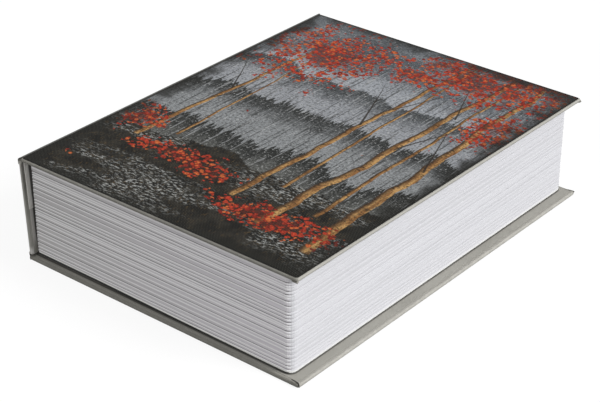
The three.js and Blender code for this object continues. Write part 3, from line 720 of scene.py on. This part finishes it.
def picture_hills(p, shade):
    """Ridges one behind the other, with pointed trees along them, and mist at their feet."""
    for base, rise, pitch, teeth, seed, colour, mist in HILLS:
        tall = p.treetops(teeth * 0.42, seed, teeth)
        short = p.treetops(teeth * 0.3, seed + 7, teeth * 0.8)
        pointed = p.maths("MAXIMUM", tall, short)
        tops = p.add(pointed, p.line(p.x, 0.9, seed + 3, teeth * 0.3))
        height = p.add(p.add(p.line(p.x, pitch, seed, rise, 4.0), tops), base - teeth * 0.4)
        drop = p.subtract(height, p.y)
        patchy = p.swing(p.blur(15.0, seed + 1, (1.8, 0.8), 5.0, 0.65), 34.0)
        body = p.mix(p.smooth(p.add(drop, patchy), 3.0, 30.0), rgb(*colour), rgb(*mist))
        trees = p.smooth(p.blur(2.4, seed + 2, (0.5, 1.7), 4.0, 0.7), 0.46, 0.62)
        near_top = p.fade(drop, 6.0, 26.0)
        body = p.mix(p.times(p.times(trees, 0.7), near_top), body, rgb(48, 50, 51))
        slender = p.smooth(p.blur(1.9, seed + 9, (0.7, 22.0), 2.0, 0.5), 0.57, 0.63)
        body = p.mix(p.times(slender, 0.7), body, rgb(52, 52, 51))
        gleam = p.smooth(p.blur(1.9, seed + 11, (0.7, 16.0), 2.0, 0.5), 0.6, 0.66)
        body = p.mix(p.times(gleam, 0.55), body, rgb(184, 186, 187))
        shade = p.mix(p.below(height, 0.35), shade, body)
    return shade


def ground_height(p):
    """Height of the ground's uneven upper edge."""
    swell = p.line(p.x, 52.0, 21.0, 44.0, 3.0)
    tufts = p.line(p.x, 3.0, 22.0, 9.0)
    return p.add(p.add(swell, tufts), -58.0)


def picture_ground(p, shade):
    """Dark ground at the tail, with pale stones and grass."""
    clods = p.smooth(p.blur(9.0, 23.0, detail=5.0), 0.4, 0.62)
    soil = p.mix(clods, rgb(24, 23, 21), rgb(50, 47, 41))
    path = p.smooth(p.blur(30.0, 25.0, (2.4, 0.8), 4.0), 0.46, 0.6)
    fleck = p.times(p.smooth(p.blur(1.9, 24.0, (1.8, 0.7), 4.0, 0.7), 0.5, 0.6), path)
    soil = p.mix(p.times(fleck, 0.85), soil, rgb(192, 194, 191))
    grass = p.smooth(p.blur(2.2, 26.0, (0.35, 2.2), 3.0, 0.6), 0.58, 0.66)
    soil = p.mix(p.times(grass, 0.6), soil, rgb(110, 88, 54))
    return p.mix(p.below(ground_height(p), 0.8), shade, soil)


def picture_trunks(p, shade):
    """Slender trunks in gold and tan, lit from one side, with bark marks across them."""
    marks = p.smooth(p.blur(2.3, 31.0, (2.2, 0.7), 3.0, 0.6), 0.56, 0.64)
    grain = p.smooth(p.blur(11.0, 32.0, (0.3, 1.5)), 0.42, 0.6)
    bark = p.mix(grain, rgb(150, 106, 62), rgb(204, 160, 102))
    for number, (start, end, wide, narrow) in enumerate(TRUNKS):
        mask, side = p.stroke(start, end, wide, narrow, 40.0 + number)
        lit = p.mix(p.smooth(side, -0.3, 0.9), bark, rgb(74, 54, 38))
        lit = p.mix(p.times(marks, 0.8), lit, rgb(44, 36, 30))
        shade = p.mix(mask, shade, lit)
    for number, (start, end, wide) in enumerate(BRANCHES):
        mask, _ = p.stroke(start, end, wide, 0.25, 70.0 + number)
        shade = p.mix(p.times(mask, 0.9), shade, rgb(50, 42, 36))
    return shade


def picture_leaves(p, shade):
    """Orange-red leaves, thick in the crowns and thinly strewn round them and over the ground."""
    cover = -0.6
    for (cx, cy), (rx, ry) in CROWNS:
        dx = p.times(p.subtract(p.x, cx), 1 / rx)
        dy = p.times(p.subtract(p.y, cy), 1 / ry)
        away = p.maths("SQRT", p.add(p.times(dx, dx), p.times(dy, dy)))
        cover = p.maths("MAXIMUM", cover, p.subtract(1.0, away))
    cover = p.add(cover, p.swing(p.blur(19.0, 52.0, detail=5.0, roughness=0.62), 2.6))
    deep = p.smooth(cover, 0.35, 0.75)
    shade = p.mix(p.times(deep, 0.8), shade, rgb(96, 40, 30))
    for size, seed, most in ((4.2, 51.0, 1.0), (2.7, 53.0, 0.95)):
        hue, chance, near = p.dabs(size, seed)
        share = p.times(p.smooth(cover, -0.3, 0.5), most)
        there = p.smooth(p.subtract(share, chance), 0.0, 0.03)
        inside = p.fade(near, 0.4, 0.47)
        dab = p.mix(p.smooth(hue, 0.1, 0.5), rgb(140, 42, 30), rgb(204, 70, 44))
        dab = p.mix(p.smooth(hue, 0.74, 0.8), dab, rgb(222, 116, 62))
        dab = p.mix(p.times(p.smooth(near, 0.16, 0.42), 0.4), dab, rgb(120, 34, 26))
        shade = p.mix(p.times(there, inside), shade, dab)
    return shade


def picture_edges(p, shade):
    """Dark, scuffed borders, and a dark line at the sheet's cut edges."""
    low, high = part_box("front_print")
    spine_side = p.subtract(p.x, low.x / MM)
    fore_side = p.subtract(high.x / MM, p.x)
    end_side = p.subtract(high.y / MM, p.maths("ABSOLUTE", p.y))
    edge = p.maths("MINIMUM", p.maths("MINIMUM", spine_side, fore_side), end_side)
    ragged = p.swing(p.blur(24.0, 61.0, detail=6.0, roughness=0.68), 44.0)
    border = p.fade(p.add(edge, ragged), 0.0, 15.0)
    shade = p.mix(p.times(border, 0.9), shade, rgb(32, 32, 29))
    # A dark line along the sheet's cut edges
    cut_edge_line = p.fade(edge, 0.7, 1.5)
    return p.mix(p.times(cut_edge_line, 0.85), shade, rgb(24, 24, 22))


def print_material():
    """A generic printed picture on a sheet with a canvas weave: misty hills behind an autumn wood."""
    p = Picture("print")
    shade = picture_sky(p)
    shade = picture_hills(p, shade)
    pale = p.blur(1.7, 72.0, detail=5.0, roughness=0.78)
    shade = p.mix(p.times(p.smooth(pale, 0.55, 0.63), 0.65), shade, rgb(212, 213, 212))
    shade = picture_ground(p, shade)
    shade = picture_trunks(p, shade)
    shade = picture_leaves(p, shade)
    shade = picture_edges(p, shade)
    grime = p.blur(1.7, 71.0, detail=5.0, roughness=0.78)
    shade = p.mix(p.times(p.smooth(grime, 0.49, 0.59), 0.6), shade, rgb(26, 26, 25))
    weave = weave_height(p, 1.1 * MM, 0.25 * MM)
    # Painted highlight on the weave's raised threads and painted shade in its hollows
    shade = p.mix(p.times(p.smooth(weave, 0.05, 0.8), 0.08), shade, rgb(206, 205, 200))
    shade = p.mix(p.times(p.smooth(weave, -0.05, -0.8), 0.42), shade, rgb(16, 16, 15))
    rough = p.ranged(grime, 0.3, 0.7, 0.5, 0.64)
    return p.finish(shade, rough, p.bump(weave, 0.5, 0.06 * MM), Specular_IOR_Level=0.02)


def paint_material():
    """Black powder coat: orange peel, faint dust and dull rubbed patches."""
    s = Shade("black_paint")
    peel = s.noise(1500.0, 2.0, 0.5)
    dust = s.noise(60.0, 5.0, 0.6)
    shade = s.mix(s.smooth(dust, 0.5, 0.8), rgb(36, 37, 39), rgb(52, 53, 55))
    speck = s.smooth(s.noise(2400.0, 2.0, 0.5), 0.7, 0.76)
    shade = s.mix(s.times(speck, 0.4), shade, rgb(96, 97, 98))
    rough = s.ranged(dust, 0.3, 0.8, 0.4, 0.58)
    return s.finish(shade, rough, s.bump(peel, 0.3, 0.06 * MM))


def steel_material():
    """Zinc-plated steel, drawn streaks and soft blotches."""
    s = Shade("zinc_steel")
    streak = s.noise(1.0, 3.0, 0.6, s.stretched((900.0, 900.0, 60.0)))
    blotch = s.noise(160.0, 3.0, 0.5)
    shade = s.mix(s.smooth(streak, 0.3, 0.7), rgb(168, 170, 172), rgb(198, 199, 200))
    shade = s.mix(s.times(s.smooth(blotch, 0.5, 0.7), 0.3), shade, rgb(184, 180, 160))
    rough = s.ranged(streak, 0.3, 0.7, 0.28, 0.42)
    return s.finish(shade, rough, s.bump(streak, 0.15, 0.02 * MM), metallic=1.0)


def chrome_material():
    """Polished chrome with haze and fine scratches."""
    s = Shade("chrome")
    haze = s.noise(220.0, 4.0, 0.6)
    scratch = s.smooth(s.noise(1.0, 2.0, 0.5, s.stretched((2600.0, 180.0, 400.0))), 0.62, 0.7)
    shade = s.mix(s.smooth(haze, 0.4, 0.7), rgb(205, 206, 208), rgb(222, 223, 225))
    rough = s.add(s.ranged(haze, 0.3, 0.7, 0.08, 0.18), s.times(scratch, 0.15))
    return s.finish(shade, rough, s.bump(scratch, 0.1, 0.01 * MM), metallic=1.0)


SLOT_MATERIALS = {
    "core_card": card_material(),
    "cloth": cloth_material(),
    "lining": lining_material(),
    "print": print_material(),
    "leaves": leaves_material(),
    "black_paint": paint_material(),
    "zinc_steel": steel_material(),
    "chrome": chrome_material(),
}


def dress_nodes():
    """Gives every node of the frame the material of its slot."""
    slots = {entry["node"]: entry["material_slot"] for entry in frame["record"]["subparts"]}
    for name, node in frame["nodes"].items():
        node.data.materials.clear()
        node.data.materials.append(SLOT_MATERIALS[slots[name]])


def cloth_piece(name, rows, thickness, smoothing=1):
    """A glued piece of the cover's cloth, from rows of points in millimetres on its inner face."""
    mesh = bpy.data.meshes.new(name)
    points = [Vector(point) * MM for row in rows for point in row]
    wide = len(rows[0])
    faces = []
    for row in range(len(rows) - 1):
        for column in range(wide - 1):
            first = row * wide + column
            faces.append((first, first + 1, first + wide + 1, first + wide))
    mesh.from_pydata(points, [], faces)
    mesh.polygons.foreach_set("use_smooth", [True] * len(mesh.polygons))
    mesh.materials.append(SLOT_MATERIALS["cloth"])
    made = bpy.data.objects.new(name, mesh)
    bpy.context.scene.collection.objects.link(made)
    rounding = made.modifiers.new("rounding", "SUBSURF")
    rounding.levels = smoothing
    rounding.render_levels = smoothing
    layer = made.modifiers.new("thickness", "SOLIDIFY")
    layer.thickness = thickness * MM
    layer.offset = 1.0
    layer.use_even_offset = True
    return made


def joint_cloth(name, profile):
    """The cover's cloth across a joint, head to tail."""
    rows = []
    for number in range(JOINT_ROWS + 1):
        share = number / JOINT_ROWS
        y = (2 * share - 1) * HALF_LENGTH / MM
        long_wave, short_wave = (pitch * share for pitch in JOINT_SWAY_WAVES)
        sway = JOINT_SWAY * math.sin(long_wave + JOINT_SWAY_START) * math.sin(short_wave)
        rows.append([(x - sway * slack, y, z) for x, z, slack in profile])
    made = cloth_piece(name, rows, JOINT_THICKNESS, smoothing=2)
    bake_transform(made)
    return made


def corner_fold(name, body, side, size, shift=0.0, flipped=False):
    """A pinched fold of the cloth over a board's corner, with a roll of the layer below it.

    The side is 1 at the tail and -1 at the head. Flipped, it lies on the front board.
    """

    def placed(point):
        x, y, z = point
        x = CORNER[0] + (x - CORNER[0]) * size
        y = CORNER[1] + (y - CORNER[1]) * size
        z = CORNER[2] + (z - CORNER[2]) * min(size, 1.0)
        height = BOARD_PAIR_HEIGHT - z if flipped else z
        return (x + shift, side * y, height)

    rows = []
    for share in FOLD_SHARES:
        bulge = FOLD_BULGE * math.sin(math.pi * share)
        row = []
        for edge, root in zip(FOLD_EDGE, FOLD_ROOT):
            point = Vector(root).lerp(Vector(edge), share)
            point.z += bulge
            row.append(placed(point))
        rows.append(row)
    if (side < 0) != flipped:
        rows.reverse()
    flap = cloth_piece(name + "_flap", rows, FOLD_THICKNESS)
    roll_rows = []
    for centre, radius in FOLD_ROLL:
        ring = []
        for degrees in FOLD_RING:
            angle = math.radians(degrees)
            up_step = radius * math.sin(angle)
            out_step = radius * math.cos(angle)
            ring.append(placed((centre[0], centre[1] - out_step, centre[2] + up_step)))
        roll_rows.append(ring)
    if (side < 0) == flipped:
        roll_rows.reverse()
    roll = cloth_piece(name + "_roll", roll_rows, FOLD_THICKNESS)
    for piece in (flap, roll):
        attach(piece, body)


def camera():
    """The camera that the photograph was taken with, as fitted."""
    data = bpy.data.cameras.new("camera")
    data.lens = CAMERA_LENS
    data.sensor_width = SENSOR_WIDTH
    data.sensor_fit = "HORIZONTAL"
    back = Vector(
        (
            math.sin(CAMERA_AZIMUTH) * math.cos(CAMERA_ELEVATION),
            -math.cos(CAMERA_AZIMUTH) * math.cos(CAMERA_ELEVATION),
            math.sin(CAMERA_ELEVATION),
        )
    )
    right = Vector((math.cos(CAMERA_AZIMUTH), math.sin(CAMERA_AZIMUTH), 0))
    up = back.cross(right)
    turn = Matrix.Rotation(CAMERA_ROLL, 3, back)
    axes = Matrix((turn @ right, turn @ up, back)).transposed()
    made = bpy.data.objects.new("camera", data)
    made.matrix_world = Matrix.Translation(CAMERA_PLACE) @ axes.to_4x4()
    bpy.context.scene.collection.objects.link(made)
    bpy.context.scene.camera = made


def seen_directly(tree):
    """1 for rays that show the background, also mirrored or through glass, 0 for rays that light."""
    path = tree.nodes.new("ShaderNodeLightPath")
    glossy = tree.nodes.new("ShaderNodeMath")
    glossy.operation = "MAXIMUM"
    tree.links.new(path.outputs["Is Camera Ray"], glossy.inputs[0])
    tree.links.new(path.outputs["Is Glossy Ray"], glossy.inputs[1])
    seen = tree.nodes.new("ShaderNodeMath")
    seen.operation = "MAXIMUM"
    tree.links.new(glossy.outputs[0], seen.inputs[0])
    tree.links.new(path.outputs["Is Transmission Ray"], seen.inputs[1])
    return seen.outputs[0]


def floor_material():
    """Pale floor that looks white where it is lit and keeps the shadow."""
    material = bpy.data.materials.new("floor")
    material.use_nodes = True
    tree = material.node_tree
    tree.nodes.clear()
    glow_share = tree.nodes.new("ShaderNodeMath")
    glow_share.operation = "MULTIPLY"
    glow_share.inputs[1].default_value = FLOOR_GLOW
    tree.links.new(seen_directly(tree), glow_share.inputs[0])
    glow = tree.nodes.new("ShaderNodeEmission")
    tree.links.new(glow_share.outputs[0], glow.inputs["Strength"])
    diffuse = tree.nodes.new("ShaderNodeBsdfDiffuse")
    diffuse.inputs["Color"].default_value = FLOOR_COLOUR
    both = tree.nodes.new("ShaderNodeAddShader")
    tree.links.new(diffuse.outputs[0], both.inputs[0])
    tree.links.new(glow.outputs[0], both.inputs[1])
    out = tree.nodes.new("ShaderNodeOutputMaterial")
    tree.links.new(both.outputs[0], out.inputs["Surface"])
    return material


def studio():
    """A floor, two suns and a white world."""
    mesh = bpy.data.meshes.new("floor")
    half = FLOOR_HALF
    drop = -FLOOR_DROP
    corners = [(-half, -half, drop), (half, -half, drop), (half, half, drop), (-half, half, drop)]
    mesh.from_pydata(corners, [], [(0, 1, 2, 3)])
    floor = bpy.data.objects.new("floor", mesh)
    floor.data.materials.append(floor_material())
    bpy.context.scene.collection.objects.link(floor)

    for name, (strength, width, place) in SUNS.items():
        data = bpy.data.lights.new(name, "SUN")
        data.energy = strength
        data.angle = math.radians(width)
        sun = bpy.data.objects.new(name, data)
        sun.rotation_euler = Vector(place).to_track_quat("Z", "Y").to_euler()
        bpy.context.scene.collection.objects.link(sun)

    world = bpy.data.worlds.new("world")
    bpy.context.scene.world = world
    world.use_nodes = True
    tree = world.node_tree
    tree.nodes.clear()
    level = tree.nodes.new("ShaderNodeMapRange")
    level.inputs["To Min"].default_value = WORLD_STRENGTH
    level.inputs["To Max"].default_value = 1.0
    tree.links.new(seen_directly(tree), level.inputs["Value"])
    sky = tree.nodes.new("ShaderNodeBackground")
    sky.inputs["Color"].default_value = (1, 1, 1, 1)
    tree.links.new(level.outputs["Result"], sky.inputs["Strength"])
    out = tree.nodes.new("ShaderNodeOutputWorld")
    tree.links.new(sky.outputs[0], out.inputs["Surface"])
    bpy.context.scene.view_settings.view_transform = "Standard"


dress_nodes()
joint_cloth(
    "lower_joint_cloth",
    LOWER_JOINT,
)
joint_cloth(
    "upper_joint_cloth",
    UPPER_JOINT,
)
corner_fold("back_tail_fold", "case", side=1, size=1.0)
corner_fold("back_head_fold", "case", side=-1, size=0.8)
corner_fold("front_tail_fold", "front_cover", side=1, size=0.75, shift=FRONT_SET_BACK, flipped=True)
corner_fold("front_head_fold", "front_cover", side=-1, size=0.8, shift=FRONT_SET_BACK, flipped=True)
camera()
studio()
